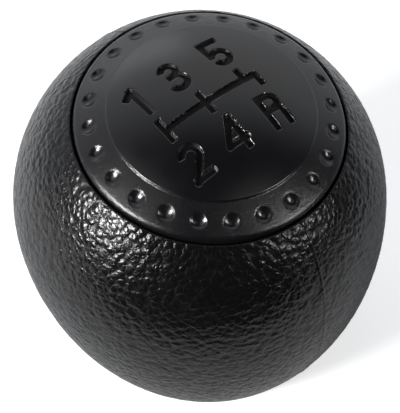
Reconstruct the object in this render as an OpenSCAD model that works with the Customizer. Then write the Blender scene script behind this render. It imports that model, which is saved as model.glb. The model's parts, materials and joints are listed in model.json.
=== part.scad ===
// Gear shift knob: a grained ball on a threaded insert, with a domed cap that carries the shift pattern.
// The origin is the middle of the foot, +Z runs up the lever, +Y is forward and +X is right in the pattern.

/* [Ball] */
// Largest diameter of the ball
ball_d = 50; // [48:0.5:56]
// Height of the largest diameter above the foot
ball_widest_z = 24.4; // [23:0.2:27]
// Diameter of the foot, measured to the sharp corner
foot_d = 32.4; // [31:0.2:36]
// Radius that rounds the foot's outer corner
foot_edge_r = 0.8; // [0.4:0.1:1.2]
// Diameter of the opening in the foot
foot_hole_d = 26.8; // [25.6:0.2:27.6]
// Thickness of the soft skin over the core
skin_t = 2.2; // [1.8:0.1:2.6]
// Height of the parting line above the skin
parting_h = 0.06; // [0.05:0.01:0.15]
// Width of the parting line
parting_w = 0.4; // [0.2:0.05:0.6]

/* [Cap mouth] */
// Lean of the mouth and its cap towards the driver, in degrees about the ball's middle
cap_tilt = 17; // [0:1:20]
// Diameter of the round mouth that the cap sits in
mouth_d = 34.4; // [33:0.1:34.8]
// Radius that rounds the lip of the mouth
mouth_edge_r = 0.25; // [0.2:0.05:0.5]
// Depth from the mouth's sharp edge to the seat on the core
seat_depth = 3.8; // [3.6:0.1:4.2]
// Gap all round between the cap and the mouth
cap_gap = 0.2; // [0.15:0.05:0.4]

/* [Cap] */
// Rise of the crown above the mouth's sharp edge
cap_rise = 5.3; // [4.6:0.1:6]
// Radius that rolls the cap's edge down into the gap
cap_edge_r = 1.1; // [0.7:0.1:1.4]
// Thickness of the domed top
cap_t = 2; // [1.6:0.1:2.4]
// Thickness of the skirt
skirt_t = 1.8; // [1.4:0.1:2.2]
// Diameter of the raised field inside the dimples
field_d = 25.8; // [24:0.2:26.6]
// Height of the step round the field
field_step = 0.2; // [0.1:0.02:0.3]

/* [Dimples] */
// Number of dimples in the ring
dimple_count = 24; // [12:1:28]
// Diameter of the ring that the dimples stand on
dimple_ring_d = 30.2; // [29.8:0.1:30.4]
// Diameter of one dimple at the surface
dimple_d = 2; // [1.4:0.1:2.2]
// Depth of one dimple
dimple_depth = 0.4; // [0.2:0.05:0.6]

/* [Shift pattern] */
// Height of a figure
figure_h = 5; // [4:0.1:5.4]
// Width of an engraved stroke
stroke_w = 0.95; // [0.7:0.05:1.1]
// Depth of the engraving
engrave_depth = 0.45; // [0.2:0.05:0.7]
// Distance between neighbouring lanes
lane_pitch = 6.05; // [5.4:0.05:6.2]
// Offset of the middle lane from the knob's axis
lane_shift = -1.3; // [-1.6:0.1:0.4]
// Offset of the reverse lane from the third lane
reverse_shift = 1.7; // [0:0.1:1.8]
// Distance from the cross gate to the middle of a row of figures
row_y = 5.35; // [5:0.05:5.6]
// Length of a lane on each side of the cross gate, from its middle line
lane_l = 1.85; // [1.2:0.05:2]

/* [Cap clips] */
// Number of clips under the cap
clip_count = 4; // [2:1:6]
// Radius at which the clips stand
clip_ring_r = 11.5; // [10.5:0.1:12]
// Width of a clip
clip_w = 5; // [4:0.2:6]
// Thickness of a clip
clip_t = 1.4; // [1:0.1:1.8]
// Outward reach of a clip's hook
hook_reach = 0.8; // [0.4:0.1:1]
// Height of a clip's hook
hook_h = 1.8; // [1.2:0.1:2.4]
// Gap round a clip in its slot
clip_gap = 0.3; // [0.2:0.05:0.5]
// Thickness of the ledge that the hooks hold
ledge_t = 3; // [2.4:0.1:3.6]

/* [Core] */
// Depth of the recess between the foot and the core's underside
floor_depth = 2.2; // [1.8:0.1:2.8]
// Diameter of the boss round the insert
boss_d = 20; // [19:0.5:21]
// Height that the boss stands out of the underside
boss_h = 1.2; // [0.8:0.1:1.6]
// Number of shallow pockets round the boss
pocket_count = 8; // [4:1:10]
// Width of the ribs between the pockets
rib_w = 1.6; // [1.2:0.1:2.2]
// Depth of a pocket
pocket_depth = 1.6; // [0.8:0.1:2]
// Gap between the ring of pockets and its neighbours, the boss and the foot's hole
pocket_margin = 0.9; // [0.6:0.1:1.2]

/* [Thread insert] */
// Width across the flats of the hexagonal insert
insert_af = 13; // [12.5:0.5:14]
// Length of the insert
insert_l = 21; // [19:0.5:24]
// Diameter of the insert's flange
flange_d = 17; // [16.5:0.5:18]
// Thickness of the flange
flange_t = 1.2; // [0.8:0.1:1.6]
// Diameter of the turned neck that locks the insert in the core
neck_d = 11.6; // [11:0.1:12]
// Length of the neck
neck_l = 4; // [3:0.5:6]
// Distance from the flange to the neck
neck_offset = 6; // [4:0.5:8]
// Diameter of the drilled hole before threading
thread_hole_d = 8.5; // [8:0.1:9]
// Depth of the threaded hole
thread_l = 18; // [15:0.5:20]
// Width of the chamfer at the hole's mouth
thread_chamfer = 0.8; // [0.4:0.1:1.2]

/* [Hidden] */
$fn = 96;
// Length by which a cutting tool runs past what it cuts
over = 1;

ball_r = ball_d / 2;
foot_r = foot_d / 2;
mouth_r = mouth_d / 2;
// The lower side is one arc that is upright at the widest place and ends at the foot
side_r = (pow(ball_r - foot_r, 2) + pow(ball_widest_z, 2)) / (2 * (ball_r - foot_r));
side_x = ball_r - side_r;
// Heights of the mouth and of the cap are those before they lean. This one is the mouth's sharp edge.
mouth_z = ball_widest_z + sqrt(pow(ball_r, 2) - pow(mouth_r, 2));
seat_z = mouth_z - seat_depth;
// Height by which the round of the lip stands high, as a share of its radius
lip_rise_share = 0.5;
floor_z = floor_depth;
boss_z = floor_z - boss_h;

cap_r = mouth_r - cap_gap;
dome_r = (pow(mouth_r, 2) + pow(cap_rise, 2)) / (2 * cap_rise);
dome_z = mouth_z + cap_rise - dome_r;
field_r = field_d / 2;

// Half the width of a figure follows from its height, as two stacked rings that share one stroke
rings_h = (figure_h + stroke_w) / 2;
upper_ring_share = 0.47;
upper_r = rings_h * upper_ring_share;
lower_r = rings_h - upper_r;
// Places of a figure's parts, as shares of the stroke's width
stem_1_share = 0.45;
flag_drop_share = 0.7;
waist_l_share = 0.4;
stem_4_share = 0.85;
bar_reach_share = 0.4;
slope_top_share = 0.3;
leg_drop_share = 0.25;
// Drop of the 4's crossbar below the middle, as a share of the figure's height
bar_drop_share = 0.2;
// Sideways place of each figure from its lane, as shares of the stroke's width
upper_row_shift_shares = [-0.15, -0.65, 0.05];
lower_row_shift_shares = [0.3, 0.1, 0.4];

hook_top_z = seat_z - ledge_t;
hook_end_z = hook_top_z - hook_h;

// Right half of the ball's section, set back by inset from the outside
module ball_section(inset) {
    intersection() {
        translate([0, ball_widest_z]) circle(ball_r - inset);
        translate([0, ball_widest_z]) square([ball_d, ball_d]);
    }
    intersection() {
        translate([side_x, ball_widest_z]) circle(side_r - inset);
        square([ball_d, ball_widest_z]);
    }
}

// Right half of the skin's outer section, with a rounded foot
module skin_section() {
    edge_x = side_x + sqrt(pow(side_r - foot_edge_r, 2) - pow(ball_widest_z - foot_edge_r, 2));
    edge_top = ball_widest_z + side_r * (foot_edge_r - ball_widest_z) / (side_r - foot_edge_r);
    intersection() {
        ball_section(0);
        translate([0, edge_top]) square([ball_d, ball_d]);
    }
    square([edge_x, edge_top + foot_edge_r]);
    translate([edge_x, foot_edge_r]) circle(foot_edge_r);
}

// Right half of the section that the cap's mouth takes out of the skin, down to below the cap's seat
module mouth_section() {
    lip_x = mouth_r + mouth_edge_r;
    // The lip's round stands a little high, so that it crosses the ball's surface at a clear angle
    lip_z = ball_widest_z + sqrt(pow(ball_r - mouth_edge_r, 2) - pow(lip_x, 2)) + lip_rise_share * mouth_edge_r;
    translate([0, seat_z - over]) square([mouth_r, ball_d]);
    difference() {
        translate([mouth_r, lip_z]) square([mouth_edge_r, ball_d]);
        translate([lip_x, lip_z]) circle(mouth_edge_r);
    }
}

// Leans what belongs to the cap about the ball's middle
module lean() {
    translate([0, 0, ball_widest_z]) rotate([cap_tilt, 0, 0]) translate([0, 0, -ball_widest_z]) children();
}

// Space that the core fills, without its holes
module core_blank() {
    difference() {
        rotate_extrude() ball_section(skin_t);
        cylinder(r = ball_r, h = floor_z);
        lean() translate([0, 0, seat_z]) cylinder(r = ball_r, h = ball_r);
    }
}

// Raised line where the two halves of the skin's mould met
module parting_line() {
    intersection() {
        difference() {
            rotate_extrude() ball_section(-parting_h);
            lean() translate([0, 0, seat_z]) cylinder(r = mouth_r + 2 * mouth_edge_r, h = ball_d);
        }
        translate([-parting_w / 2, -ball_d, 2 * foot_edge_r]) cube([parting_w, 2 * ball_d, 2 * ball_d]);
    }
}

module grip_shell() {
    color("#1d1e20") difference() {
        union() {
            rotate_extrude() skin_section();
            parting_line();
        }
        core_blank();
        lean() rotate_extrude() mouth_section();
        translate([0, 0, -over]) cylinder(d = foot_hole_d, h = floor_z + 2 * over);
    }
}

// Hexagonal bar with a flange below and a turned neck, without its threaded hole
module insert_blank() {
    neck_z = boss_z + flange_t + neck_offset;
    hex_r = insert_af / 2 / cos(30);
    translate([0, 0, boss_z]) cylinder(d = flange_d, h = flange_t);
    translate([0, 0, boss_z]) cylinder(r = hex_r, h = neck_z - boss_z, $fn = 6);
    translate([0, 0, neck_z - over]) cylinder(d = neck_d, h = neck_l + 2 * over);
    translate([0, 0, neck_z + neck_l]) cylinder(r = hex_r, h = boss_z + insert_l - neck_z - neck_l, $fn = 6);
}

module thread_insert() {
    hole_r = thread_hole_d / 2;
    rim_r = hole_r + thread_chamfer + over;
    color("#b8954a") difference() {
        insert_blank();
        translate([0, 0, boss_z - over]) cylinder(r = hole_r, h = thread_l + over);
        translate([0, 0, boss_z]) rotate_extrude()
            polygon([[0, -over], [rim_r, -over], [hole_r, thread_chamfer], [0, thread_chamfer]]);
    }
}

// One clip, standing on the ring at the angle 0
module clip() {
    root_z = dome_z + sqrt(pow(dome_r - cap_t, 2) - pow(clip_ring_r + clip_t / 2, 2));
    translate([clip_ring_r - clip_t / 2, -clip_w / 2, hook_end_z])
        cube([clip_t, clip_w, root_z + cap_t / 2 - hook_end_z]);
    translate([clip_ring_r - clip_t / 2, -clip_w / 2, hook_end_z])
        cube([clip_t + hook_reach, clip_w, hook_h]);
}

// Slot for one clip, with the ledge that its hook holds
module clip_slot() {
    slot_w = clip_w + 2 * clip_gap;
    inner_x = clip_ring_r - clip_t / 2 - hook_reach - clip_gap;
    outer_x = clip_ring_r + clip_t / 2 + clip_gap;
    slot_z = hook_end_z - clip_gap;
    translate([inner_x, -slot_w / 2, slot_z]) cube([outer_x - inner_x, slot_w, seat_z + over - slot_z]);
    translate([inner_x, -slot_w / 2, slot_z])
        cube([outer_x + hook_reach - inner_x, slot_w, hook_top_z - slot_z]);
}

// Ring of shallow pockets with straight ribs between them
module pockets() {
    inner_r = boss_d / 2 + pocket_margin;
    outer_r = foot_hole_d / 2 - pocket_margin;
    difference() {
        translate([0, 0, floor_z - over]) cylinder(r = outer_r, h = pocket_depth + over);
        cylinder(r = inner_r, h = floor_z + pocket_depth + over);
        for (i = [0 : pocket_count - 1]) rotate(360 / pocket_count * i)
            translate([0, -rib_w / 2, 0]) cube([ball_r, rib_w, floor_z + pocket_depth + over]);
    }
}

module rigid_core() {
    color("#2b2c2e") difference() {
        union() {
            core_blank();
            translate([0, 0, boss_z]) cylinder(d = boss_d, h = boss_h + over);
        }
        insert_blank();
        pockets();
        lean() for (i = [0 : clip_count - 1]) rotate(360 / clip_count * (i + 1 / 2)) clip_slot();
    }
}

// Right half of the cap's outer section: a dome, a rolled edge and an upright skirt
module cap_section() {
    edge_x = cap_r - cap_edge_r;
    edge_z = dome_z + sqrt(pow(dome_r - cap_edge_r, 2) - pow(edge_x, 2));
    dome_x = edge_x * dome_r / (dome_r - cap_edge_r);
    intersection() {
        translate([0, dome_z]) circle(dome_r);
        translate([0, edge_z]) square([dome_x, dome_r]);
    }
    translate([edge_x, edge_z]) circle(cap_edge_r);
    translate([0, seat_z]) square([cap_r, edge_z - seat_z]);
}

// Hollow below the cap's top, inside its skirt
module cap_hollow() {
    intersection() {
        translate([0, 0, dome_z]) sphere(dome_r - cap_t);
        translate([0, 0, seat_z - over]) cylinder(r = cap_r - skirt_t, h = dome_r);
    }
}

module dimples() {
    // Radius of the ball that leaves a dent of the stated diameter and depth
    dent_r = (pow(dimple_d / 2, 2) + pow(dimple_depth, 2)) / (2 * dimple_depth);
    lift = sqrt(pow(dome_r, 2) - pow(dimple_ring_d / 2, 2)) * (1 + (dent_r - dimple_depth) / dome_r);
    out = dimple_ring_d / 2 * (1 + (dent_r - dimple_depth) / dome_r);
    for (i = [0 : dimple_count - 1]) rotate(360 / dimple_count * i)
        translate([out, 0, dome_z + lift]) sphere(dent_r);
}

// Straight stroke between two points, with square ends that run half a stroke past them
module stroke(a, b) {
    run = norm(b - a);
    turn = atan2(b[1] - a[1], b[0] - a[0]);
    translate(a) rotate(turn) translate([-stroke_w / 2, -stroke_w / 2]) square([run + stroke_w, stroke_w]);
}

// Curved stroke: a ring's part from the angle a0 to a1, which is under 360
module bow(centre, r, a0, a1) {
    far = 2 * r;
    mid = (a0 + a1) / 2;
    corners = [for (i = [0 : 4]) let (a = a0 + (a1 - a0) * i / 4) [far * cos(a), far * sin(a)]];
    translate(centre) intersection() {
        difference() {
            circle(r);
            circle(r - stroke_w);
        }
        polygon(concat([[0, 0]], corners));
    }
}

// Each figure is drawn round its own middle
module figure_1() {
    x = stem_1_share * stroke_w;
    top = (figure_h - stroke_w) / 2;
    stroke([x, -top], [x, top]);
    stroke([x, top], [x - stroke_w, top - flag_drop_share * stroke_w]);
}

module figure_2() {
    base = -(figure_h - stroke_w) / 2;
    centre = [0, figure_h / 2 - lower_r];
    turn_r = lower_r - stroke_w / 2;
    bow(centre, lower_r, -40, 170);
    stroke([turn_r * cos(-40), centre[1] + turn_r * sin(-40)], [-turn_r, base]);
    stroke([-turn_r, base], [turn_r, base]);
}

module figure_3() {
    waist = 2 * lower_r - (figure_h + stroke_w) / 2;
    bow([0, figure_h / 2 - upper_r], upper_r, -90, 165);
    bow([0, lower_r - figure_h / 2], lower_r, -165, 90);
    stroke([-waist_l_share * stroke_w, waist], [0, waist]);
}

module figure_4() {
    x = stem_4_share * stroke_w;
    top = (figure_h - stroke_w) / 2;
    left = x - 2 * lower_r + stroke_w;
    bar = -bar_drop_share * figure_h;
    stroke([x, -top], [x, top]);
    stroke([left, bar], [x + bar_reach_share * stroke_w, bar]);
    stroke([left, bar], [x - slope_top_share * stroke_w, top]);
}

module figure_5() {
    top = (figure_h - stroke_w) / 2;
    left = stroke_w / 2 - lower_r;
    bow([0, lower_r - figure_h / 2], lower_r, -160, 140);
    stroke([left, 2 * lower_r - figure_h / 2 - stroke_w], [left, top]);
    stroke([left, top], [-left, top]);
}

module figure_r() {
    top = (figure_h - stroke_w) / 2;
    side = lower_r - stroke_w / 2;
    turn_r = upper_r - stroke_w / 2;
    waist = top - 2 * turn_r;
    stroke([-side, -top], [-side, top]);
    stroke([-side, top], [side - turn_r, top]);
    stroke([-side, waist], [side - turn_r, waist]);
    bow([side - turn_r, top - turn_r], upper_r, -90, 90);
    stroke([side, -top], [side, waist - leg_drop_share * stroke_w]);
}

// The lanes and the cross gate between the two rows of figures
module gate() {
    end_y = lane_l - stroke_w / 2;
    left = lane_shift - lane_pitch;
    right = lane_shift + lane_pitch;
    stroke([left, 0], [right + reverse_shift, 0]);
    stroke([left, -end_y], [left, end_y]);
    stroke([lane_shift, -end_y], [lane_shift, end_y]);
    stroke([right, 0], [right, end_y]);
    stroke([right + reverse_shift, -end_y], [right + reverse_shift, 0]);
}

// Place of a figure: its lane from -1 to 1, its row, and its sideways shift as a share of the stroke
function figure_place(lane, side, shift_share) =
    [lane_shift + lane * lane_pitch + shift_share * stroke_w, side * row_y];

module shift_pattern() {
    gate();
    translate(figure_place(-1, 1, upper_row_shift_shares[0])) figure_1();
    translate(figure_place(0, 1, upper_row_shift_shares[1])) figure_3();
    translate(figure_place(1, 1, upper_row_shift_shares[2])) figure_5();
    translate(figure_place(-1, -1, lower_row_shift_shares[0])) figure_2();
    translate(figure_place(0, -1, lower_row_shift_shares[1])) figure_4();
    translate(figure_place(1, -1, lower_row_shift_shares[2])) figure_r();
}

module pattern_cap() {
    color("#242527") lean() difference() {
        union() {
            rotate_extrude() cap_section();
            intersection() {
                translate([0, 0, dome_z]) sphere(dome_r + field_step);
                translate([0, 0, seat_z]) cylinder(r = field_r, h = dome_r);
            }
        }
        cap_hollow();
        dimples();
        difference() {
            translate([0, 0, seat_z]) linear_extrude(dome_r) shift_pattern();
            translate([0, 0, dome_z]) sphere(dome_r + field_step - engrave_depth);
        }
    }
    color("#242527") lean() for (i = [0 : clip_count - 1]) rotate(360 / clip_count * (i + 1 / 2)) clip();
}

grip_shell();
rigid_core();
thread_insert();
pattern_cap();
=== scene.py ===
"""Gear shift knob: a grained ball with a leaning, domed cap that carries the shift pattern."""

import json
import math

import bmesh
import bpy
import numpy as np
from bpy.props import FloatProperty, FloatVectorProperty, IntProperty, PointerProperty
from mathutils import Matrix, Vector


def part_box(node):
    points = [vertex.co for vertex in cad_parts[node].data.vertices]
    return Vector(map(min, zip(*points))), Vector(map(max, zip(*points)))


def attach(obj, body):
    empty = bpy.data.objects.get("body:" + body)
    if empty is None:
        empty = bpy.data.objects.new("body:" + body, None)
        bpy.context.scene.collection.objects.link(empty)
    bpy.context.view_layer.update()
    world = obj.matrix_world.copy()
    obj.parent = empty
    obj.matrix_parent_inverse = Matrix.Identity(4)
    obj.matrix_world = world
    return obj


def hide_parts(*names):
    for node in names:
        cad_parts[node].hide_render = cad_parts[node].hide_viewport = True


bl_info = {
    "name": "Gear Shift Knob",
    "version": (1, 0, 0),
    "blender": (4, 5, 0),
    "location": "View3D > Sidebar > Knob",
    "description": "Dresses a gear shift knob with a grained skin, an engraved cap and a threaded insert",
    "category": "Object",
}

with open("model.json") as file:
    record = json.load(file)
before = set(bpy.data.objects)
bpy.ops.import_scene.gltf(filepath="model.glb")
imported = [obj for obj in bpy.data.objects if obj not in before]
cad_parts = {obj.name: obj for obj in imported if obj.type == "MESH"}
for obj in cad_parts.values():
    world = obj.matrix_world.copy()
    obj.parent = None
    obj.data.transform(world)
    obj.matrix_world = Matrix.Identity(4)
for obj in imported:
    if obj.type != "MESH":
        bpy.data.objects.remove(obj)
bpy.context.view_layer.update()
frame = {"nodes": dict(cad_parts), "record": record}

MM = 0.001
HOLE_R = next(mount["dims"]["r_mm"] for mount in frame["record"]["mounts"] if mount["name"] == "lever_thread") * MM
SHELL_LOW, SHELL_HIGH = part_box("grip_shell")
INSERT_LOW, INSERT_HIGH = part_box("thread_insert")


def linear(hex_colour):
    """An sRGB hex colour as linear red, green, blue and an alpha of one."""
    parts = [int(hex_colour[i:i + 2], 16) / 255 for i in (1, 3, 5)]
    return [p / 12.92 if p <= 0.04045 else ((p + 0.055) / 1.055) ** 2.4 for p in parts] + [1.0]


def length(name, description, millimetres):
    """A property that holds a length, given in millimetres and kept in metres."""
    return FloatProperty(name=name, description=description, default=millimetres * MM, unit="LENGTH", precision=5)


def colour(name, description, hex_colour):
    """A property that holds a colour."""
    return FloatVectorProperty(name=name, description=description, default=linear(hex_colour), size=4,
                               subtype="COLOR", min=0, max=1)


def angle(name, description, degrees):
    """A property that holds an angle, given in degrees."""
    return FloatProperty(name=name, description=description, default=math.radians(degrees), subtype="ANGLE")


class KnobBallSizes(bpy.types.PropertyGroup):
    """Sizes of the ball and of its skin."""

    ball_d: FloatProperty(name="Ball", description="Largest diameter of the ball", unit="LENGTH",
                          default=SHELL_HIGH[0] - SHELL_LOW[0])
    widest_z: length("Widest height", "Height of the widest place above the foot", 24.4)
    foot_d: length("Foot", "Diameter of the foot at its sharp corner", 32.4)
    foot_edge_r: length("Foot edge", "Radius of the foot's outer corner", 0.8)
    foot_hole_d: length("Foot hole", "Diameter of the foot's opening", 26.8)
    hole_edge_r: length("Hole edge", "Radius of the opening's rim", 0.25)
    floor_z: length("Recess", "Height of the core's underside above the foot", 2.2)
    skin_t: length("Skin", "Thickness of the skin", 2.2)
    ridge_h: length("Parting height", "Height of the parting line", 0.06)
    ridge_w: length("Parting width", "Width of the parting line", 0.4)
    grain_pitch: length("Grain pitch", "Distance between neighbouring pebbles", 0.85)
    grain_depth: length("Grain depth", "Depth of its valleys", 0.09)


class KnobCapSizes(bpy.types.PropertyGroup):
    """Sizes of the cap and of the mouth that it sits in."""

    lean: angle("Lean", "Lean of the mouth and the cap", 17)
    mouth_d: length("Mouth", "Diameter of the round mouth", 34.4)
    mouth_edge_r: length("Lip", "Radius of the mouth's lip", 0.25)
    seat_depth: length("Seat depth", "Depth from the mouth's sharp edge to the seat", 3.8)
    gap: length("Gap", "Gap round the cap", 0.2)
    rise: length("Rise", "Rise of the crown above the mouth's sharp edge", 5.3)
    edge_r: length("Rolled edge", "Radius of the cap's rolled edge", 1.1)
    wall_t: length("Wall", "Thickness of the cap's top", 2)
    skirt_t: length("Skirt", "Thickness of the cap's skirt", 1.8)
    field_d: length("Field", "Diameter of the raised field", 25.8)
    field_step: length("Field step", "Height of the step round the field", 0.2)
    step_w: length("Step width", "Width of the field's step", 0.2)
    dimple_count: IntProperty(name="Dimples", description="Number of dimples in the ring", default=24, min=3)
    ring_d: length("Dimple ring", "Diameter of the ring of dimples", 30.2)
    dimple_d: length("Dimple", "Diameter of one dimple at the surface", 2)
    dimple_depth: length("Dimple depth", "Depth of one dimple", 0.4)


class KnobPatternSizes(bpy.types.PropertyGroup):
    """Sizes of the engraved shift pattern."""

    figure_h: length("Figure", "Height of a figure", 5)
    stroke_w: length("Stroke", "Width of an engraved stroke", 0.95)
    depth: length("Depth", "Depth of the engraving", 0.45)
    wall_w: length("Wall", "Width of a stroke's sloping wall", 0.16)
    lane_pitch: length("Lane pitch", "Distance between neighbouring lanes", 6.05)
    lane_shift: length("Lane shift", "Offset of the middle lane from the knob's axis", -1.3)
    reverse_shift: length("Reverse shift", "Offset of the reverse lane from the third lane", 1.7)
    row_y: length("Row", "Distance from the cross gate to a row of figures", 5.35)
    lane_l: length("Lane", "Length of a lane on each side of the cross gate", 1.85)


class KnobInsertSizes(bpy.types.PropertyGroup):
    """Sizes of the brass insert and its thread."""

    across_flats: length("Across flats", "Width across the bar's flats", 13)
    flange_d: length("Flange", "Diameter of the flange", 17)
    flange_t: length("Flange thickness", "Thickness of the flange", 1.2)
    neck_d: length("Neck", "Diameter of the turned neck", 11.6)
    neck_l: length("Neck length", "Length of the neck", 4)
    neck_offset: length("Neck offset", "Distance from the flange to the neck", 6)
    thread_d: length("Thread", "Major diameter of the thread", 10)
    thread_pitch: length("Pitch", "Distance between neighbouring turns", 1.5)
    thread_l: length("Depth", "Depth of the threaded hole", 18)
    chamfer: length("Chamfer", "Width of the hole's chamfer", 0.8)


class KnobColours(bpy.types.PropertyGroup):
    """Colours of the finishes."""

    skin: colour("Skin", "Moulded vinyl skin", "#0b0b0c")
    # Painted shade: the grain's valleys are coloured darker than its pebbles
    painted_valley_shade: colour("Skin valleys", "Skin in the valleys of its grain", "#060607")
    cap: colour("Cap", "Satin cap", "#0b0b0d")
    # Painted shade: the strokes are coloured darker than the cap round them
    painted_stroke_shade: colour("Engraving", "Floor of the engraved strokes", "#040405")
    core: colour("Core", "Glass-filled nylon core", "#2b2c2e")
    brass: colour("Brass", "Turned brass insert", "#c9a860")
    floor: colour("Floor", "Studio floor", "#c6c6c6")


class KnobStageSettings(bpy.types.PropertyGroup):
    """Place of the camera."""

    azimuth: angle("Azimuth", "Turn of the camera from the front to the right", -33.157)
    elevation: angle("Elevation", "Height of the camera above the horizon", 47.069)
    roll: angle("Roll", "Turn of the camera about its own axis", -8.556)
    distance: length("Distance", "Distance of the camera from its aim", 192.71)
    aim_z: length("Aim height", "Height of the camera's aim on the axis", 24.5)
    slide_right: length("Slide right", "Slide of the camera to its own right", 4.009)
    slide_up: length("Slide up", "Slide of the camera to its own top", -5.375)
    lens: FloatProperty(name="Lens", description="Focal length in millimetres", default=124.66)
    shift_x: FloatProperty(name="Shift X", description="Sideways shift of the lens", default=-0.0726)
    shift_y: FloatProperty(name="Shift Y", description="Upright shift of the lens", default=0.0726)


# Meshes

def circle_row(radius, height, angles, lean=0.0, pivot_z=0.0):
    """Points of one level ring, which then leans about the X direction through the height pivot_z."""
    x = radius * np.cos(angles)
    y = radius * np.sin(angles)
    z = np.zeros_like(angles) + height - pivot_z
    return np.stack([x, y * math.cos(lean) - z * math.sin(lean),
                     y * math.sin(lean) + z * math.cos(lean) + pivot_z], axis=-1)


def circle_rows(section, angles, lean=0.0, pivot_z=0.0):
    """Rings through the points (across, up) of a section, which then lean together."""
    return [circle_row(across, up, angles, lean, pivot_z) for across, up in section]


def even_angles(count):
    """Angles all the way round, evenly spaced."""
    return np.linspace(0, 2 * math.pi, count, endpoint=False)


def arc_points(centre, radius, start, end, count):
    """Points (across, up) along an arc, both ends included, with the angles in radians."""
    return [(centre[0] + radius * math.cos(a), centre[1] + radius * math.sin(a))
            for a in np.linspace(start, end, count)]


def line_points(start, end, count):
    """Points (across, up) along a straight line, both ends left out."""
    return np.linspace(start, end, count + 2)[1:-1].tolist()


def mesh_of_rows(name, rows, fans=(), loop=False):
    """An object whose mesh joins each ring of points to the next one.

    fans names the rings, 0 and -1 at most, that are closed by a fan to their middle, and loop joins the last ring to
    the first. The faces of a mesh that this closes all look out.
    """
    rows = np.asarray(rows)
    ring_count, columns = rows.shape[:2]
    here = np.arange(columns)
    after = np.roll(here, -1)
    pairs = [(i, (i + 1) % ring_count) for i in range(ring_count if loop else ring_count - 1)]
    faces = []
    for a, b in pairs:
        quads = np.stack([a * columns + here, a * columns + after, b * columns + after, b * columns + here], axis=-1)
        faces += quads.tolist()
    points = rows.reshape(-1, 3)
    for ring in fans:
        middle = np.full(columns, len(points))
        points = np.vstack([points, rows[ring].mean(axis=0)])
        end = (ring_count - 1) * columns
        sides = (after, here) if ring == 0 else (end + here, end + after)
        faces += np.stack([middle, *sides], axis=-1).tolist()
    mesh = bpy.data.meshes.new(name)
    mesh.from_pydata(points.tolist(), [], faces)
    mesh.polygons.foreach_set("use_smooth", np.ones(len(mesh.polygons), bool))
    if loop or len(fans) == 2:
        shape = bmesh.new()
        shape.from_mesh(mesh)
        bmesh.ops.recalc_face_normals(shape, faces=shape.faces)
        shape.to_mesh(mesh)
        shape.free()
    mesh.update()
    thing = bpy.data.objects.new(name, mesh)
    bpy.context.scene.collection.objects.link(thing)
    return thing


def keep_values(thing, name, values):
    """Keeps one number per vertex on the mesh, where the materials read it."""
    layer = thing.data.attributes.new(name, "FLOAT", "POINT")
    layer.data.foreach_set("value", np.asarray(values, dtype=np.float32))


def smooth_step(value, low, high):
    """A soft ramp from zero at low to one at high."""
    t = np.clip((value - low) / (high - low), 0, 1)
    return t * t * (3 - 2 * t)


def finish_piece(thing, node, slot, *materials):
    """Gives a piece its materials, and lets it stand for its CAD node on the knob's one body."""
    thing.data.materials.clear()
    for material in materials:
        thing.data.materials.append(material)
    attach(thing, "root")
    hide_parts(node)


# Nodes

def add(tree, kind, inputs=None, **settings):
    """Adds a node with its settings, and gives its inputs values or links, from a socket or a node's first result."""
    node = tree.nodes.new(kind)
    for key, value in settings.items():
        setattr(node, key, value)
    for key, value in (inputs or {}).items():
        if isinstance(value, bpy.types.Node):
            value = next(socket for socket in value.outputs if socket.enabled)
        if isinstance(value, bpy.types.NodeSocket):
            tree.links.new(value, node.inputs[key])
        else:
            node.inputs[key].default_value = value
    return node


# Lengths in the grain are shares of its pitch: the size of what moves the pebbles about and how far it moves them,
# the reach of a pebble's dome, the width of a crease and the size of a swelling
MOVER_SIZE = 1 / 0.9
MOVER_REACH = 1.3
DOME_REACH = 0.85
CREASE_W = 0.15
SWELLING_SIZE = 1 / 0.35
# Heights in the grain are shares of its depth: what a crease and a hollow between swellings take away
CREASE_DROP = 0.2
SWELLING_DROP = 0.5
# Power that makes a pebble's top flatter than a cone's
DOME_POWER = 2.2


def grain_height(tree, place, pitch):
    """Height of the pebble grain, from zero in a valley to one on a pebble, at a place in metres.

    The same nodes shape the mesh and the fine relief of the material, so the two agree.
    """
    mover = add(tree, "ShaderNodeTexNoise", {"Vector": place, "Scale": 1 / (MOVER_SIZE * pitch), "Detail": 2.0})
    centred = add(tree, "ShaderNodeVectorMath", {0: mover.outputs["Color"], 1: (0.5, 0.5, 0.5)}, operation="SUBTRACT")
    moved = add(tree, "ShaderNodeVectorMath", {0: centred, 1: (MOVER_REACH * pitch,) * 3, 2: place},
                operation="MULTIPLY_ADD")
    pebbles = add(tree, "ShaderNodeTexVoronoi", {"Vector": moved, "Scale": 1 / pitch}, feature="F1")
    outwards = add(tree, "ShaderNodeMapRange", {"Value": pebbles, "From Max": DOME_REACH})
    falling = add(tree, "ShaderNodeMath", {0: outwards, 1: DOME_POWER}, operation="POWER")
    domes = add(tree, "ShaderNodeMath", {0: 1.0, 1: falling}, operation="SUBTRACT")
    creases = add(tree, "ShaderNodeTexVoronoi", {"Vector": moved, "Scale": 1 / pitch}, feature="DISTANCE_TO_EDGE")
    shoulders = add(tree, "ShaderNodeMapRange", {"Value": creases, "From Max": CREASE_W, "To Min": 1 - CREASE_DROP},
                    interpolation_type="SMOOTHSTEP")
    swell = add(tree, "ShaderNodeTexNoise", {"Vector": place, "Scale": 1 / (SWELLING_SIZE * pitch), "Detail": 1.0})
    swelling = add(tree, "ShaderNodeMath", {0: swell, 1: SWELLING_DROP, 2: 1 - SWELLING_DROP},
                   operation="MULTIPLY_ADD")
    height = domes
    for share in (shoulders, swelling):
        height = add(tree, "ShaderNodeMath", {0: height, 1: share}, operation="MULTIPLY")
    return height


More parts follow.
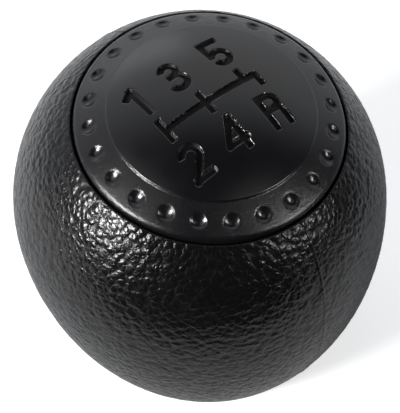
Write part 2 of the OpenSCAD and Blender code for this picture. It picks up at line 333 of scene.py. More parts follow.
def press_grain(thing, pitch, depth):
    """Presses the grain into the mesh, as deep as its grain values say."""
    tree = bpy.data.node_groups.new("press_grain", "GeometryNodeTree")
    for side in ("INPUT", "OUTPUT"):
        tree.interface.new_socket("Geometry", in_out=side, socket_type="NodeSocketGeometry")
    amount = add(tree, "GeometryNodeInputNamedAttribute", {"Name": "grain"}, data_type="FLOAT")
    height = grain_height(tree, add(tree, "GeometryNodeInputPosition"), pitch)
    sunk = add(tree, "ShaderNodeMath", {0: height, 1: 1.0}, operation="SUBTRACT")
    for share in (depth, amount.outputs["Attribute"]):
        sunk = add(tree, "ShaderNodeMath", {0: sunk, 1: share}, operation="MULTIPLY")
    normal = add(tree, "GeometryNodeInputNormal")
    offset = add(tree, "ShaderNodeVectorMath", {0: normal, "Scale": sunk}, operation="SCALE")
    moved = add(tree, "GeometryNodeSetPosition", {"Geometry": add(tree, "NodeGroupInput"), "Offset": offset})
    add(tree, "NodeGroupOutput", {0: moved})
    thing.modifiers.new("Grain", "NODES").node_group = tree
    pressed = bpy.data.meshes.new_from_object(thing.evaluated_get(bpy.context.evaluated_depsgraph_get()))
    thing.modifiers.clear()
    thing.data = pressed


# Real sizes of what patterns the finishes
PORE_GAP = 0.12 * MM
HANDLED_PATCH = 9 * MM
CAP_FLOW = 5 * MM
CORE_FLOW = 3 * MM
FIBRE_GAP = 0.2 * MM
TARNISH_PATCH = 2.5 * MM
# Spark-erosion grit is about 0.03 mm, and a lathe's rings are 0.1 mm apart. Both are drawn as coarse as they need to
# be to show.
SPARK_GRIT = 0.14 * MM
LATHE_RINGS = 0.25 * MM


def new_material(name):
    """An empty material, its nodes and the place on the object, in metres."""
    material = bpy.data.materials.new(name)
    material.use_nodes = True
    tree = material.node_tree
    tree.nodes.clear()
    return material, tree, add(tree, "ShaderNodeTexCoord").outputs["Object"]


def give_shader(tree, inputs):
    """Ends a material in its shader, with the links and the values that are even all over."""
    shader = add(tree, "ShaderNodeBsdfPrincipled", inputs)
    add(tree, "ShaderNodeOutputMaterial", {"Surface": shader})


def mottle(tree, pattern, tint, share, dullness, relief, values):
    """Ends a material whose colour turns to a share of itself, and whose roughness rises, where a pattern is high."""
    other = [min(1, share * part) for part in tint[:3]] + [1]
    mixed = add(tree, "ShaderNodeMix", {"Factor": pattern, "A": tint, "B": other}, data_type="RGBA")
    low, high = dullness
    roughness = add(tree, "ShaderNodeMapRange", {"Value": pattern, "To Min": low, "To Max": high})
    give_shader(tree, {"Base Color": mixed, "Roughness": roughness, "Normal": relief, **values})


def moulded_vinyl(sizes, colours):
    """Soft vinyl moulded in a tool etched with leather grain: round, semi-gloss pebbles, and dull valleys in painted
    shade.
    """
    material, tree, place = new_material("moulded_grained_vinyl")
    height = grain_height(tree, place, sizes.grain_pitch)
    amount = add(tree, "ShaderNodeAttribute", attribute_name="grain").outputs["Fac"]
    # The pores of the etched tool are the finest relief that shows
    pores = add(tree, "ShaderNodeTexNoise", {"Vector": place, "Scale": 1 / PORE_GAP, "Detail": 2.0})
    pored = add(tree, "ShaderNodeMath", {0: pores, 1: 0.05, 2: height}, operation="MULTIPLY_ADD")
    relief = add(tree, "ShaderNodeBump", {"Height": pored, "Strength": amount, "Distance": sizes.grain_depth})
    # The valleys take the darker colour, which is painted shade in the grain's creases
    tint = add(tree, "ShaderNodeMix", {"Factor": height, "A": colours.painted_valley_shade, "B": colours.skin}, data_type="RGBA")
    handling = add(tree, "ShaderNodeTexNoise", {"Vector": place, "Scale": 1 / HANDLED_PATCH, "Detail": 3.0})
    pebble = add(tree, "ShaderNodeMapRange",
                 {"Value": handling, "From Min": 0.3, "From Max": 0.7, "To Min": 0.14, "To Max": 0.19})
    valley = add(tree, "ShaderNodeMapRange", {"Value": height, "To Min": 0.2, "To Max": 0.0})
    roughness = add(tree, "ShaderNodeMath", {0: pebble, 1: valley}, operation="ADD")
    give_shader(tree, {"Base Color": tint, "Roughness": roughness, "Normal": relief, "IOR": 1.5,
                       "Specular IOR Level": 0.3})
    return material


def satin_abs(colours):
    """ABS moulded in a spark-eroded tool: an even satin, duller in the band and shinier on the strokes' edges."""
    material, tree, place = new_material("satin_moulded_abs")
    depth, edges, band = (add(tree, "ShaderNodeAttribute", attribute_name=name).outputs["Fac"]
                          for name in ("engraved", "rim", "band"))
    flow = add(tree, "ShaderNodeTexNoise", {"Vector": place, "Scale": 1 / CAP_FLOW, "Detail": 3.0})
    # The band round the field was eroded longer, so its grit is higher and its sheen breaks up into specks
    grit = add(tree, "ShaderNodeTexNoise", {"Vector": place, "Scale": 1 / SPARK_GRIT, "Detail": 2.0})
    longer = add(tree, "ShaderNodeMath", {0: band, 1: 1.8, 2: 1.0}, operation="MULTIPLY_ADD")
    bumps = add(tree, "ShaderNodeMath", {0: grit, 1: longer}, operation="MULTIPLY")
    relief = add(tree, "ShaderNodeBump", {"Height": bumps, "Strength": 1.0, "Distance": 0.014 * MM})
    # The colour turns darker the deeper a point lies in a stroke: painted shade in the engraving
    tint = add(tree, "ShaderNodeMix", {"Factor": depth, "A": colours.cap, "B": colours.painted_stroke_shade}, data_type="RGBA")
    roughness = add(tree, "ShaderNodeMapRange",
                    {"Value": flow, "From Min": 0.3, "From Max": 0.7, "To Min": 0.2, "To Max": 0.26})
    for where, change in ((edges, -0.05), (band, 0.015), (depth, 0.06)):
        roughness = add(tree, "ShaderNodeMath", {0: where, 1: change, 2: roughness}, operation="MULTIPLY_ADD")
    give_shader(tree, {"Base Color": tint, "Roughness": roughness, "Normal": relief, "IOR": 1.53,
                       "Specular IOR Level": 0.45})
    return material


def eroded_abs(colours):
    """The same ABS in the strokes, where the tool was left as the spark eroded it: matt, and coloured darker as painted
    shade.
    """
    material, tree, place = new_material("eroded_abs_painted_shade")
    grit = add(tree, "ShaderNodeTexNoise", {"Vector": place, "Scale": 1 / SPARK_GRIT, "Detail": 2.0})
    relief = add(tree, "ShaderNodeBump", {"Height": grit, "Strength": 1.0, "Distance": 0.02 * MM})
    mottle(tree, grit, colours.painted_stroke_shade, 0.6, (0.4, 0.55), relief, {"IOR": 1.53, "Specular IOR Level": 0.16})
    return material


def glass_filled_nylon(colours):
    """Nylon with short glass fibres, moulded: a dull dark grey with faint flow marks and a fine tooth."""
    material, tree, place = new_material("moulded_glass_filled_nylon")
    flow = add(tree, "ShaderNodeTexNoise", {"Vector": place, "Scale": 1 / CORE_FLOW, "Detail": 4.0, "Distortion": 1.5})
    fibres = add(tree, "ShaderNodeTexNoise", {"Vector": place, "Scale": 1 / FIBRE_GAP, "Detail": 3.0})
    relief = add(tree, "ShaderNodeBump", {"Height": fibres, "Strength": 1.0, "Distance": 0.02 * MM})
    mottle(tree, flow, colours.core, 1.5, (0.45, 0.65), relief, {"IOR": 1.53})
    return material


def turned_brass(colours):
    """Brass turned on a lathe: bright yellow metal with fine rings from the tool, and a little tarnish."""
    material, tree, place = new_material("turned_brass")
    # A wave node's scale counts twentieths of a wave
    rings = add(tree, "ShaderNodeTexWave", {"Vector": place, "Scale": 1 / LATHE_RINGS / 20, "Distortion": 0.4},
                wave_type="RINGS", rings_direction="Z")
    tarnish = add(tree, "ShaderNodeTexNoise", {"Vector": place, "Scale": 1 / TARNISH_PATCH, "Detail": 4.0})
    relief = add(tree, "ShaderNodeBump", {"Height": rings.outputs["Fac"], "Strength": 0.5, "Distance": 0.01 * MM})
    mottle(tree, tarnish, colours.brass, 0.6, (0.2, 0.42), relief, {"Metallic": 1.0})
    return material


# Grip

class KnobShape:
    """Sizes that follow from the ball's and the cap's own, in metres, before the cap leans."""

    def __init__(self, ball, cap):
        self.ball_r = ball.ball_d / 2
        self.mid_z = ball.widest_z
        # The lower side is one arc that is upright at the widest place and ends at the foot
        inset = self.ball_r - ball.foot_d / 2
        self.side_r = (inset ** 2 + self.mid_z ** 2) / (2 * inset)
        self.side_x = self.ball_r - self.side_r
        self.mouth_r = cap.mouth_d / 2
        self.mouth_z = self.mid_z + math.sqrt(self.ball_r ** 2 - self.mouth_r ** 2)
        self.seat_z = self.mouth_z - cap.seat_depth
        self.cap_r = self.mouth_r - cap.gap
        self.dome_r = (self.mouth_r ** 2 + cap.rise ** 2) / (2 * cap.rise)
        self.dome_z = self.mouth_z + cap.rise - self.dome_r
        self.lip = (self.mouth_r + cap.mouth_edge_r, self.mid_z + math.sqrt(
            (self.ball_r - cap.mouth_edge_r) ** 2 - (self.mouth_r + cap.mouth_edge_r) ** 2))
        self.foot_edge = (self.side_x + math.sqrt(
            (self.side_r - ball.foot_edge_r) ** 2 - (self.mid_z - ball.foot_edge_r) ** 2), ball.foot_edge_r)

    def reach(self, across, up):
        """Distance from the ball's middle to its surface along a direction, given by its two parts."""
        below = self.side_x * across
        side = below + np.sqrt(below ** 2 + self.side_r ** 2 - self.side_x ** 2)
        return np.where(up >= 0, self.ball_r, side)

    def outward(self, points):
        """Directions straight out of the ball's surface at the given points."""
        across = np.hypot(points[..., 0], points[..., 1])
        up = points[..., 2] - self.mid_z
        level = np.where(up >= 0, across, across - self.side_x)
        scale = level / np.maximum(across, MM)
        out = np.stack([points[..., 0] * scale, points[..., 1] * scale, up], axis=-1)
        return out / np.linalg.norm(out, axis=-1, keepdims=True)


GRIP_COLUMNS = 528
GRIP_ROWS = 140
# Columns close together on each side of the parting line, and how far they reach round
PARTING_COLUMNS = 13
PARTING_REACH = math.radians(0.66)
# Rings up the mouth's wall, over its lip, round the foot's outer corner, along the foot and round its inner corner,
# and inside below and above the widest place
WALL_RINGS, LIP_RINGS, FOOT_EDGE_RINGS, FOOT_RINGS, HOLE_EDGE_RINGS = 3, 10, 8, 2, 5
LOWER_RINGS, UPPER_RINGS = 3, 5
# The grain fades out over a short way before the foot, and is a little flatter on the parting line
GRAIN_FADE = 1.2 * MM
GRAIN_ON_PARTING = 0.75


def grip_angles():
    """Angles of the columns, even all round and closer together at the parting line."""
    close = np.linspace(-PARTING_REACH, PARTING_REACH, PARTING_COLUMNS)
    middles = (math.pi / 2, 3 * math.pi / 2)
    kept = [a for a in even_angles(GRIP_COLUMNS) if all(abs(a - m) > PARTING_REACH * 1.3 for m in middles)]
    return np.array(sorted(kept + [m + c for m in middles for c in close]))


def skin_rows(shape, ball, cap, angles):
    """Rings of the skin from the seat, up the mouth's wall, over its lip, down the ball and round the foot.

    Each ring comes with a mark, from zero to one, for how much of the grain and the parting line it takes.
    """
    lip_x, lip_z = shape.lip
    lip_angle = math.atan2(lip_z - shape.mid_z, lip_x)
    mouth = [(shape.mouth_r, shape.seat_z)]
    mouth += line_points(mouth[0], (shape.mouth_r, lip_z), WALL_RINGS)
    marks = [0.0] * len(mouth) + np.linspace(0, 1, LIP_RINGS).tolist()
    mouth += arc_points(shape.lip, cap.mouth_edge_r, math.pi, lip_angle, LIP_RINGS)
    rows = circle_rows(mouth, angles, cap.lean, shape.mid_z)

    edge_x, edge_z = shape.foot_edge
    foot_angle = math.atan2(edge_z - shape.mid_z, edge_x - shape.side_x)
    foot_x = shape.side_x + shape.side_r * math.cos(foot_angle)
    foot_z = shape.mid_z + shape.side_r * math.sin(foot_angle)
    polar_start = math.atan2(lip_x, lip_z - shape.mid_z)
    polar_end = math.atan2(foot_x, foot_z - shape.mid_z)
    for s in np.linspace(0, 1, GRIP_ROWS + 2)[1:-1]:
        polar = polar_start + s * (polar_end - polar_start)
        lean = cap.lean * (1 - smooth_step(s, 0, 1))
        aim = circle_row(math.sin(polar), math.cos(polar), angles, lean)
        reach = shape.reach(np.hypot(aim[:, 0], aim[:, 1]), aim[:, 2])
        rows.append(aim * reach[:, None] + np.array([0, 0, shape.mid_z]))
        marks.append(1.0)

    hole_r = ball.foot_hole_d / 2
    rim = ball.hole_edge_r
    foot = arc_points(shape.foot_edge, ball.foot_edge_r, foot_angle, -math.pi / 2, FOOT_EDGE_RINGS)
    foot += line_points((edge_x, 0), (hole_r + rim, 0), FOOT_RINGS)
    foot += arc_points((hole_r + rim, rim), rim, -math.pi / 2, -math.pi, HOLE_EDGE_RINGS)
    foot += [(hole_r, ball.floor_z)]
    return rows + circle_rows(foot, angles), marks + [0.0] * len(foot)


def inner_rows(shape, ball, cap, angles):
    """Rings of the skin's inside, where it lies on the core, from the recess up to the seat."""
    inner_side = shape.side_r - ball.skin_t
    inner_ball = shape.ball_r - ball.skin_t
    low = math.asin((ball.floor_z - shape.mid_z) / inner_side)
    high = math.asin((shape.seat_z - shape.mid_z) / inner_ball)
    lower = arc_points((shape.side_x, shape.mid_z), inner_side, low, 0, LOWER_RINGS)
    upper = arc_points((0, shape.mid_z), inner_ball, 0, high, UPPER_RINGS)[1:]
    leans = np.linspace(0, cap.lean, UPPER_RINGS)[1:]
    return circle_rows(lower, angles) + [circle_row(*point, angles, lean, shape.mid_z)
                                         for point, lean in zip(upper, leans)]


class KNOB_OT_grip(bpy.types.Operator):
    """Builds the grained skin of the ball, with its parting line, the mouth's lip and the foot."""

    bl_idname = "knob.grip"
    bl_label = "Grained skin"

    def execute(self, context):
        scene = context.scene
        ball = scene.knob_ball
        cap = scene.knob_cap
        shape = KnobShape(ball, cap)
        angles = grip_angles()
        rows, marks = skin_rows(shape, ball, cap, angles)
        rows = np.array(rows)
        marks = np.array(marks)[:, None] * np.ones(len(angles))
        # The ridge stands where the two halves of the mould met, in the plane that the lever moves in
        ridge = ball.ridge_h * (1 - smooth_step(np.abs(rows[..., 0]), ball.ridge_w / 4, ball.ridge_w / 2))
        rows = rows + shape.outward(rows) * (ridge * marks)[..., None]
        # The grain runs right up to the lip, and ends a little before the foot
        steps = np.cumsum(np.linalg.norm(np.diff(rows, axis=0, prepend=rows[:1]), axis=-1), axis=0)
        last = np.nonzero(marks[:, 0])[0][-1]
        grain = marks * smooth_step(steps[last] - steps, 0, GRAIN_FADE)
        grain *= GRAIN_ON_PARTING + (1 - GRAIN_ON_PARTING) * smooth_step(
            np.abs(rows[..., 0]), ball.ridge_w / 2, ball.ridge_w * 1.5)
        hidden = np.array(inner_rows(shape, ball, cap, angles))
        grain = np.concatenate([grain, np.zeros(hidden.shape[:2])])
        skin = mesh_of_rows("grained_skin", np.concatenate([rows, hidden]), loop=True)
        keep_values(skin, "grain", grain.ravel())
        press_grain(skin, ball.grain_pitch, ball.grain_depth)
        finish_piece(skin, "grip_shell", "grained_skin", moulded_vinyl(ball, scene.knob_colours))
        return {"FINISHED"}


# Shift pattern

def stroke_distance(x, y, start, end, width):
    """Signed distance to a straight stroke with square ends that run half a stroke past its points."""
    run_x, run_y = end[0] - start[0], end[1] - start[1]
    run = math.hypot(run_x, run_y)
    dx, dy = x - start[0], y - start[1]
    along = (dx * run_x + dy * run_y) / run
    across = (dy * run_x - dx * run_y) / run
    past = np.abs(along - run / 2) - (run + width) / 2
    aside = np.abs(across) - width / 2
    return np.hypot(np.maximum(past, 0), np.maximum(aside, 0)) + np.minimum(np.maximum(past, aside), 0)


def bow_distance(x, y, centre, radius, start, end, width):
    """Signed distance to a part of a ring, from one angle to another, in degrees."""
    across, up = x - centre[0], y - centre[1]
    out = np.hypot(across, up)
    ring = np.abs(out - radius + width / 2) - width / 2
    middle = math.radians((start + end) / 2)
    half = math.radians(end - start) / 2
    turn = np.abs((np.arctan2(up, across) - middle + math.pi) % (2 * math.pi) - math.pi)
    return np.maximum(ring, out * np.sin(np.clip(turn - half, -math.pi / 2, math.pi / 2)))


def figure_strokes(figure, height, width):
    """The strokes of one figure round its own middle: straight ones by their ends, bows by centre, radius, angles."""
    rings = (height + width) / 2
    upper = rings * 0.47
    lower = rings - upper
    top = (height - width) / 2
    if figure == "1":
        x = 0.45 * width
        return [((x, -top), (x, top)), ((x, top), (x - width, top - 0.7 * width))]
    if figure == "2":
        middle = height / 2 - lower
        turn = lower - width / 2
        foot = arc_points((0, middle), turn, math.radians(-40), 0, 2)[0]
        return [((0, middle), lower, -40, 170), (foot, (-turn, -top)), ((-turn, -top), (turn, -top))]
    if figure == "3":
        waist = 2 * lower - rings
        return [((0, height / 2 - upper), upper, -90, 165), ((0, lower - height / 2), lower, -165, 90),
                ((-0.4 * width, waist), (0, waist))]
    if figure == "4":
        x = 0.85 * width
        left = x - 2 * lower + width
        bar = -0.2 * height
        return [((x, -top), (x, top)), ((left, bar), (x + 0.4 * width, bar)), ((left, bar), (x - 0.3 * width, top))]
    if figure == "5":
        left = width / 2 - lower
        return [((0, lower - height / 2), lower, -160, 140), ((left, 2 * lower - height / 2 - width), (left, top)),
                ((left, top), (-left, top))]
    side = lower - width / 2
    turn = upper - width / 2
    waist = top - 2 * turn
    return [((-side, -top), (-side, top)), ((-side, top), (side - turn, top)), ((-side, waist), (side - turn, waist)),
            ((side - turn, top - turn), upper, -90, 90), ((side, -top), (side, waist - 0.25 * width))]


def gate_strokes(sizes):
    """The lanes and the cross gate between the two rows of figures."""
    end = sizes.lane_l - sizes.stroke_w / 2
    middle = sizes.lane_shift
    left = middle - sizes.lane_pitch
    right = middle + sizes.lane_pitch
    reverse = right + sizes.reverse_shift
    return [((left, 0), (reverse, 0)), ((left, -end), (left, end)), ((middle, -end), (middle, end)),
            ((right, 0), (right, end)), ((reverse, -end), (reverse, 0))]


# Lane, row and sideways shift of each figure, the shift as a share of the stroke
FIGURE_PLACES = {"1": (-1, 1, -0.15), "3": (0, 1, -0.65), "5": (1, 1, 0.05),
                 "2": (-1, -1, 0.3), "4": (0, -1, 0.1), "R": (1, -1, 0.4)}


def pattern_distance(x, y, sizes):
    """Signed distance to the whole shift pattern, below zero inside its strokes."""
    width = sizes.stroke_w
    groups = [((0, 0), gate_strokes(sizes))]
    for figure, (lane, row, shift) in FIGURE_PLACES.items():
        place = (sizes.lane_shift + lane * sizes.lane_pitch + shift * width, row * sizes.row_y)
        groups.append((place, figure_strokes(figure, sizes.figure_h, width)))
    nearest = np.full(x.shape, 1.0)
    for (dx, dy), strokes in groups:
        for stroke in strokes:
            measure = stroke_distance if len(stroke) == 2 else bow_distance
            nearest = np.minimum(nearest, measure(x - dx, y - dy, *stroke, width))
    return nearest


def snap_to_outline(x, y, sizes, levels, reach):
    """Moves the points that lie nearest to the strokes' outlines on to them, so that the edges stay clean."""
    small = 0.01 * MM
    for level in levels:
        here = pattern_distance(x, y, sizes) - level
        slope_x = (pattern_distance(x + small, y, sizes) - pattern_distance(x - small, y, sizes)) / (2 * small)
        slope_y = (pattern_distance(x, y + small, sizes) - pattern_distance(x, y - small, sizes)) / (2 * small)
        near = np.where(np.abs(here) < reach, here, 0) / np.maximum(slope_x ** 2 + slope_y ** 2, 0.25)
        x, y = x - near * slope_x, y - near * slope_y
    return x, y


# Cap

CAP_COLUMNS = 624
# Rings over the pattern, up to the field's step, over it, up to the dimples, and over them to the rolled edge
CAP_RINGS = (97, 6, 10, 4, 18)
FIRST_RING_R = 0.06 * MM
PATTERN_R = 11.3 * MM
EDGE_RINGS, SKIRT_RINGS, HOLLOW_RINGS = 10, 2, 6
# The hollow's last ring stops this angle short of the axis, where a fan closes it
HOLLOW_STOP = 0.01
# How far a point may move to come to lie on a stroke's outline
SNAP_REACH = 0.058 * MM
# Half the width over which a dimple's edge is rounded
DIMPLE_SOFT = 0.05 * MM
# The polish along the strokes' edges is full up to the first distance and gone at the second
POLISH_FROM, POLISH_TO = 0.05 * MM, 0.3 * MM
# Faces that lie deeper than this share of the engraving get its material
ERODED_FROM = 0.3


def cap_radii(shape, cap):
    """Radii of the rings on the cap's top, close together where strokes, the step and the dimples are."""
    dome_edge = (shape.cap_r - cap.edge_r) * shape.dome_r / (shape.dome_r - cap.edge_r)
    field = cap.field_d / 2
    ends = (FIRST_RING_R, PATTERN_R, field - 0.3 * MM, field + cap.step_w + 0.1 * MM,
            (cap.ring_d - cap.dimple_d) / 2 - 0.1 * MM, dome_edge)
    return np.concatenate([np.linspace(start, end, count, endpoint=False)
                           for start, end, count in zip(ends, ends[1:], CAP_RINGS)])


def cap_top(shape, cap, pattern):
    """Rings of the cap's top, with how far each point is in the engraving, on a stroke's edge and in the band."""
    radii = cap_radii(shape, cap)
    angles = even_angles(CAP_COLUMNS)
    x = radii[:, None] * np.cos(angles)
    y = radii[:, None] * np.sin(angles)
    x, y = snap_to_outline(x, y, pattern, (0, -pattern.wall_w), SNAP_REACH)
    edge = pattern_distance(x, y, pattern)
    engraved = smooth_step(-edge, 0, pattern.wall_w)
    polished = 1 - smooth_step(np.abs(edge), POLISH_FROM, POLISH_TO)

    out = np.hypot(x, y)
    past_field = smooth_step(out, cap.field_d / 2, cap.field_d / 2 + cap.step_w)
    lift = cap.field_step * (1 - past_field)

    # A dimple is the dent of a ball pressed in square to the dome
    dimple_r = cap.dimple_d / 2
    step = 2 * math.pi / cap.dimple_count
    nearest = np.round(np.arctan2(y, x) / step) * step
    tip = math.asin(cap.ring_d / 2 / shape.dome_r)
    up = np.sqrt(shape.dome_r ** 2 - out ** 2)
    along = (x * np.cos(nearest) + y * np.sin(nearest)) * math.sin(tip) + up * math.cos(tip)
    aside = np.sqrt(np.maximum(shape.dome_r ** 2 - along ** 2, 0))
    dent_r = (dimple_r ** 2 + cap.dimple_depth ** 2) / (2 * cap.dimple_depth)
    dent = np.sqrt(np.maximum(dent_r ** 2 - aside ** 2, 0)) - dent_r + cap.dimple_depth
    dent = np.where(aside < cap.dimple_d, (dent + np.sqrt(dent ** 2 + DIMPLE_SOFT ** 2)) / 2, 0)
    dent *= 1 - smooth_step(aside, dimple_r, dimple_r + 4 * DIMPLE_SOFT)

    z = shape.dome_z + np.sqrt((shape.dome_r + lift - pattern.depth * engraved - dent) ** 2 - out ** 2)
    band = past_field * smooth_step(aside, dimple_r - 2 * DIMPLE_SOFT, dimple_r)
    return np.stack([x, y, z], axis=-1), {"engraved": engraved, "rim": polished, "band": band}


def cap_side_profile(shape, cap):
    """Section of the cap from its rolled edge, down the skirt and back up inside to the middle of the hollow."""
    edge_x = shape.cap_r - cap.edge_r
    edge_z = shape.dome_z + math.sqrt((shape.dome_r - cap.edge_r) ** 2 - edge_x ** 2)
    start = math.atan2(edge_z - shape.dome_z, edge_x)
    skirt_r = shape.cap_r - cap.skirt_t
    hollow = shape.dome_r - cap.wall_t
    profile = arc_points((edge_x, edge_z), cap.edge_r, start, 0, EDGE_RINGS)
    profile += line_points((shape.cap_r, edge_z), (shape.cap_r, shape.seat_z), SKIRT_RINGS)
    profile += [(shape.cap_r, shape.seat_z), (skirt_r, shape.seat_z)]
    turn = math.acos(skirt_r / hollow)
    return profile + arc_points((0, shape.dome_z), hollow, turn, math.pi / 2 - HOLLOW_STOP, HOLLOW_RINGS)


class KNOB_OT_cap(bpy.types.Operator):
    """Builds the domed cap with its field, dimples and engraved shift pattern."""

    bl_idname = "knob.cap"
    bl_label = "Engraved cap"

    def execute(self, context):
        scene = context.scene
        cap = scene.knob_cap
        shape = KnobShape(scene.knob_ball, cap)
        top, marks = cap_top(shape, cap, scene.knob_pattern)
        side = np.array(circle_rows(cap_side_profile(shape, cap), even_angles(CAP_COLUMNS)))
        piece = mesh_of_rows("engraved_cap", np.concatenate([top, side]), fans=(0, -1))
        pivot = Matrix.Translation((0, 0, shape.mid_z))
        piece.data.transform(pivot @ Matrix.Rotation(cap.lean, 4, "X") @ pivot.inverted())
        # The rolled edge and the skirt are finished like the band, and the last two values are the fans' middles
        for name, values in marks.items():
            rest = np.full(side[..., 0].size, 1.0 if name == "band" else 0.0)
            keep_values(piece, name, np.concatenate([values.ravel(), rest, [0.0, 0.0]]))
        colours = scene.knob_colours
        finish_piece(piece, "pattern_cap", "satin_cap", satin_abs(colours), eroded_abs(colours))
        deep = [item.value for item in piece.data.attributes["engraved"].data]
        for face in piece.data.polygons:
            share = sum(deep[corner] for corner in face.vertices) / len(face.vertices)
            face.material_index = int(share > ERODED_FROM)
        return {"FINISHED"}


# Insert and core

INSERT_COLUMNS = 96
# Rings to one turn of the thread, and the shares of its pitch that are left flat at the crest and at the root
THREAD_RINGS = 12
CREST_FLAT, ROOT_FLAT = 1 / 4, 1 / 8
# Turned edges that are steeper than this stay sharp
SHARP_FROM = math.radians(35)


def thread_rows(insert, low_z, angles):
    """Rings up the threaded wall: a 60 degree thread cut outwards from the drilled hole."""
    deep = insert.thread_d / 2 - HOLE_R
    start = low_z + insert.chamfer
    end = low_z + insert.thread_l
    rows = []
    for z in np.arange(start, end, insert.thread_pitch / THREAD_RINGS):
        turn = (z / insert.thread_pitch - angles / (2 * math.pi)) % 1
        flank = 0.5 - np.abs(turn - 0.5) - CREST_FLAT / 2
        cut = np.clip(flank / ((1 - CREST_FLAT - ROOT_FLAT) / 2), 0, 1)
        fade = smooth_step(z, start, start + insert.thread_pitch)
        fade *= 1 - smooth_step(z, end - insert.thread_pitch, end)
        rows.append(circle_row(HOLE_R + deep * cut * fade, z, angles))
    rows.append(circle_row(HOLE_R, end, angles))
    return rows


def bar_row(insert, z, angles):
    """A ring round the hexagonal bar."""
    sixth = math.pi / 3
    turn = (angles + sixth / 2) % sixth - sixth / 2
    return circle_row(insert.across_flats / 2 / np.cos(turn), z, angles + math.pi / 6)


class KNOB_OT_insert(bpy.types.Operator):
    """Builds the turned brass insert with its thread."""

    bl_idname = "knob.insert"
    bl_label = "Threaded insert"

    def execute(self, context):
        scene = context.scene
        insert = scene.knob_insert
        low_z, top_z = INSERT_LOW[2], INSERT_HIGH[2]
        angles = even_angles(INSERT_COLUMNS)
        flange_r = insert.flange_d / 2
        bevel = insert.flange_t / 5
        flange_z = low_z + insert.flange_t
        neck_z = flange_z + insert.neck_offset
        neck_top = neck_z + insert.neck_l
        rows = thread_rows(insert, low_z, angles)[::-1]
        face = [(HOLE_R + insert.chamfer * 0.5, low_z + insert.chamfer * 0.5), (HOLE_R + insert.chamfer, low_z),
                (HOLE_R + insert.chamfer + bevel / 4, low_z), ((HOLE_R + flange_r) / 2, low_z),
                (flange_r - bevel * 1.2, low_z), (flange_r - bevel, low_z), (flange_r, low_z + bevel),
                (flange_r, flange_z - bevel), (flange_r - bevel, flange_z)]
        rows += circle_rows(face, angles)
        rows += [bar_row(insert, z, angles) for z in (flange_z, neck_z)]
        rows += [circle_row(insert.neck_d / 2, z, angles) for z in (neck_z, neck_top)]
        rows += [bar_row(insert, z, angles) for z in (neck_top, top_z)]
        piece = mesh_of_rows("brass_insert", rows, fans=(0, -1))
        piece.data.set_sharp_from_angle(angle=SHARP_FROM)
        finish_piece(piece, "thread_insert", "insert_brass", turned_brass(scene.knob_colours))
        return {"FINISHED"}


class KNOB_OT_core(bpy.types.Operator):
    """Gives the moulded core its nylon."""

    bl_idname = "knob.core"
    bl_label = "Moulded core"

    def execute(self, context):
        materials = frame["nodes"]["rigid_core"].data.materials
        materials.clear()
        materials.append(glass_filled_nylon(context.scene.knob_colours))
        return {"FINISHED"}


# Stage

LAMP_DISTANCE = 0.6
SENSOR_W = 36
# The paper ends just below the picture and just right of it, where the object mirrors a dark room
FLOOR_REACH, FLOOR_FRONT, FLOOR_RIGHT = 3.0, 0.045, 0.075
FLOOR_COLUMNS = 128
# A hair between the foot and the floor, so that the two don't touch
FLOOR_DROP = 0.02 * MM
# What is added to the lit floor for a mirrored ray, from nothing at the first distance from the axis to all of it at
# the second, so that the object's own shade close to its foot is kept; the darker floor near the foot is partly painted
# shade.
MIRROR_LIFT = 0.5
MIRROR_FROM, MIRROR_TO = 0.025, 0.12
# What the camera sees added, near enough to keep the shadow, and far off, where the floor is as white as the world
NEAR_LIFT = 0.66
NEAR, FAR = 0.15, 0.4
# Direction of the room's pale side, and its two colours
PALE_SIDE = 147
ROOM_DARK, ROOM_PALE = "#232324", "#e2eaf8"
# Name, azimuth and elevation of each lamp in degrees, its two sizes, its brightness and its colour
LAMPS = [
    ("key_left", -93, 23, 0.15, 0.13, 106.0, "#ffffff"),
    ("panel_left", -91, 54, 0.38, 0.2, 1.2, "#ffffff"),
    ("window_back", 163, 36, 0.36, 0.18, 1.02, "#f4f8ff"),
    ("fill_right", 6, 39, 0.28, 0.2, 0.85, "#ffffff"),
    ("spot_right", 22, 13, 0.08, 0.18, 33.0, "#ffffff"),
]


def direction(azimuth, elevation):
    """Unit vector towards a place on the sky, with the azimuth 0 at the front and 90 at the right, in degrees."""
    a, e = math.radians(azimuth), math.radians(elevation)
    return Vector((math.sin(a) * math.cos(e), -math.cos(a) * math.cos(e), math.sin(e)))


def mirror_rays(tree, path):
    """One for a ray that comes by way of a mirror or of glass, and zero for any other."""
    return add(tree, "ShaderNodeMath", {0: path.outputs["Is Glossy Ray"], 1: path.outputs["Is Transmission Ray"]},
               operation="MAXIMUM")


def studio_floor(colours):
    """Matt white paper, swept under the object, that the camera sees as white, and a mirror away from the foot."""
    material, tree, place = new_material("matt_white_paper")
    path = add(tree, "ShaderNodeLightPath")
    out = add(tree, "ShaderNodeVectorMath", {0: place}, operation="LENGTH")
    clear = add(tree, "ShaderNodeMapRange",
                {"Value": out, "From Min": MIRROR_FROM, "From Max": MIRROR_TO, "To Max": MIRROR_LIFT},
                interpolation_type="SMOOTHSTEP")
    white = add(tree, "ShaderNodeMapRange", {"Value": out, "From Min": NEAR, "From Max": FAR, "To Min": NEAR_LIFT},
                interpolation_type="SMOOTHSTEP")
    in_mirror = add(tree, "ShaderNodeMath", {0: mirror_rays(tree, path), 1: clear}, operation="MULTIPLY")
    in_camera = add(tree, "ShaderNodeMath", {0: path.outputs["Is Camera Ray"], 1: white}, operation="MULTIPLY")
    lift = add(tree, "ShaderNodeMath", {0: in_mirror, 1: in_camera}, operation="MAXIMUM")
    give_shader(tree, {"Base Color": colours.floor, "Roughness": 0.95, "Specular IOR Level": 0.1,
                       "Emission Color": (1, 1, 1, 1), "Emission Strength": lift})
    return material


